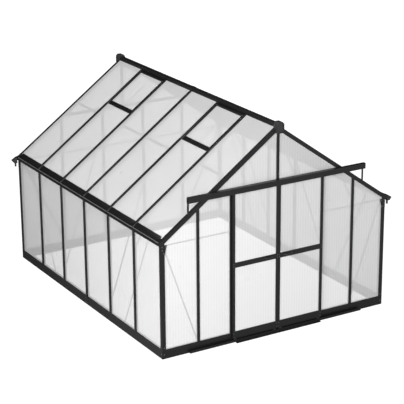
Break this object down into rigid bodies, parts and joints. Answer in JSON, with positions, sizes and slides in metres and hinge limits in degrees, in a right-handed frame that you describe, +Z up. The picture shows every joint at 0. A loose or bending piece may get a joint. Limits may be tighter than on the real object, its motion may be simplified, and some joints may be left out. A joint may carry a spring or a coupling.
{
  "type": "walk-in greenhouse with double sliding doors",
  "caption": "Walk-in apex greenhouse: black metal frame on a low plinth, translucent twin-wall panels, double sliding doors on an overhead track and hinged roof vents.",
  "frame": {"origin": "on the ground, at the middle of the whole object's box", "axes": "+Z up, +Y from the door gable to the rear gable along the house, +X to the right when facing the doors from outside"},
  "size_m": [3.25, 3.866, 2.546],
  "materials": {
    "frame": "satin powder coat, near black",
    "brace_bar": "mill-finish flat bar",
    "panel": "twin-wall polycarbonate, lightly frosted",
    "moulding": "moulded black nylon",
    "roller": "turned acetal",
    "fastener": "zinc plated"
  },
  "bodies": {
    "greenhouse_frame": {"base_gable_sills": "frame", "base_side_sills": "frame", "base_corner_brackets": "frame", "corner_posts": "frame", "side_posts": "frame", "front_gable_posts": "frame", "rear_gable_posts": "frame", "apex_posts": "frame", "gable_transoms": "frame", "eave_gutter_left": "frame", "eave_gutter_right": "frame", "gutter_end_plates": "frame", "corner_gussets": "frame", "ridge_beam": "frame", "eave_cappings": "frame", "gable_rafters": "frame", "roof_rafters": "frame", "roof_glazing_caps": "frame", "roof_purlins": "frame", "vent_hinge_ears": "frame", "vent_sills": "frame", "header_rail": "frame", "header_end_fittings": "frame", "bottom_guide": "frame", "threshold_ramp": "frame", "side_wall_braces": "brace_bar", "gable_braces": "brace_bar", "eave_ties": "brace_bar", "knee_braces": "brace_bar", "side_panels_left": "panel", "side_panels_right": "panel", "front_gable_panels": "panel", "rear_gable_panels": "panel", "roof_panels_left": "panel", "roof_panels_right": "panel", "ridge_caps": "moulding", "gutter_outlets": "moulding", "base_bolts": "fastener"},
    "door_left": {"door_left_frame": "frame", "door_left_panels": "panel", "door_left_handle": "moulding", "door_left_axles": "fastener", "door_left_guide_shoes": "moulding"},
    "roller_left_inner": {"door_left_roller_inner": "roller"},
    "roller_left_outer": {"door_left_roller_outer": "roller"},
    "door_right": {"door_right_frame": "frame", "door_right_panels": "panel", "door_right_handle": "moulding", "door_right_axles": "fastener", "door_right_guide_shoes": "moulding"},
    "roller_right_inner": {"door_right_roller_inner": "roller"},
    "roller_right_outer": {"door_right_roller_outer": "roller"},
    "vent_front": {"vent_front_frame": "frame", "vent_front_panel": "panel", "vent_front_stay_bracket": "frame"},
    "stay_front": {"vent_front_stay_arm": "brace_bar"},
    "vent_rear": {"vent_rear_frame": "frame", "vent_rear_panel": "panel", "vent_rear_stay_bracket": "frame"},
    "stay_rear": {"vent_rear_stay_arm": "brace_bar"}
  },
  "joints": [
    {"name": "door_left_slide", "type": "slide", "parent": "greenhouse_frame", "child": "door_left", "axis": [-1, 0, 0], "range_m": [0, 0.565]},
    {"name": "roller_left_inner_spin", "type": "hinge", "parent": "door_left", "child": "roller_left_inner", "pos_m": [-0.091, -1.8975, 1.8138], "axis": [0, 1, 0], "range_deg": [-2950, 0]},
    {"name": "roller_left_outer_spin", "type": "hinge", "parent": "door_left", "child": "roller_left_outer", "pos_m": [-0.527, -1.8975, 1.8138], "axis": [0, 1, 0], "range_deg": [-2950, 0]},
    {"name": "door_right_slide", "type": "slide", "parent": "greenhouse_frame", "child": "door_right", "axis": [1, 0, 0], "range_m": [0, 0.565]},
    {"name": "roller_right_inner_spin", "type": "hinge", "parent": "door_right", "child": "roller_right_inner", "pos_m": [0.091, -1.8975, 1.8138], "axis": [0, 1, 0], "range_deg": [0, 2950]},
    {"name": "roller_right_outer_spin", "type": "hinge", "parent": "door_right", "child": "roller_right_outer", "pos_m": [0.527, -1.8975, 1.8138], "axis": [0, 1, 0], "range_deg": [0, 2950]},
    {"name": "vent_front_hinge", "type": "hinge", "parent": "greenhouse_frame", "child": "vent_front", "pos_m": [-0.05041, -0.922, 2.46388], "axis": [0, 1, 0], "range_deg": [0, 40]},
    {"name": "stay_front_hinge", "type": "hinge", "parent": "vent_front", "child": "stay_front", "pos_m": [-0.47389, -0.914, 2.13118], "axis": [0, 1, 0], "range_deg": [0, 72]},
    {"name": "vent_rear_hinge", "type": "hinge", "parent": "greenhouse_frame", "child": "vent_rear", "pos_m": [-0.05041, 0.938, 2.46388], "axis": [0, 1, 0], "range_deg": [0, 40]},
    {"name": "stay_rear_hinge", "type": "hinge", "parent": "vent_rear", "child": "stay_rear", "pos_m": [-0.47389, 0.946, 2.13118], "axis": [0, 1, 0], "range_deg": [0, 72]}
  ],
  "couplings": [
    {"joint": "roller_left_inner_spin", "follows": "door_left_slide", "rad_per_m": -90.909},
    {"joint": "roller_left_outer_spin", "follows": "door_left_slide", "rad_per_m": -90.909},
    {"joint": "roller_right_inner_spin", "follows": "door_right_slide", "rad_per_m": 90.909},
    {"joint": "roller_right_outer_spin", "follows": "door_right_slide", "rad_per_m": 90.909},
    {"joint": "stay_front_hinge", "follows": "vent_front_hinge", "ratio": 1.772},
    {"joint": "stay_rear_hinge", "follows": "vent_rear_hinge", "ratio": 1.772}
  ]
}
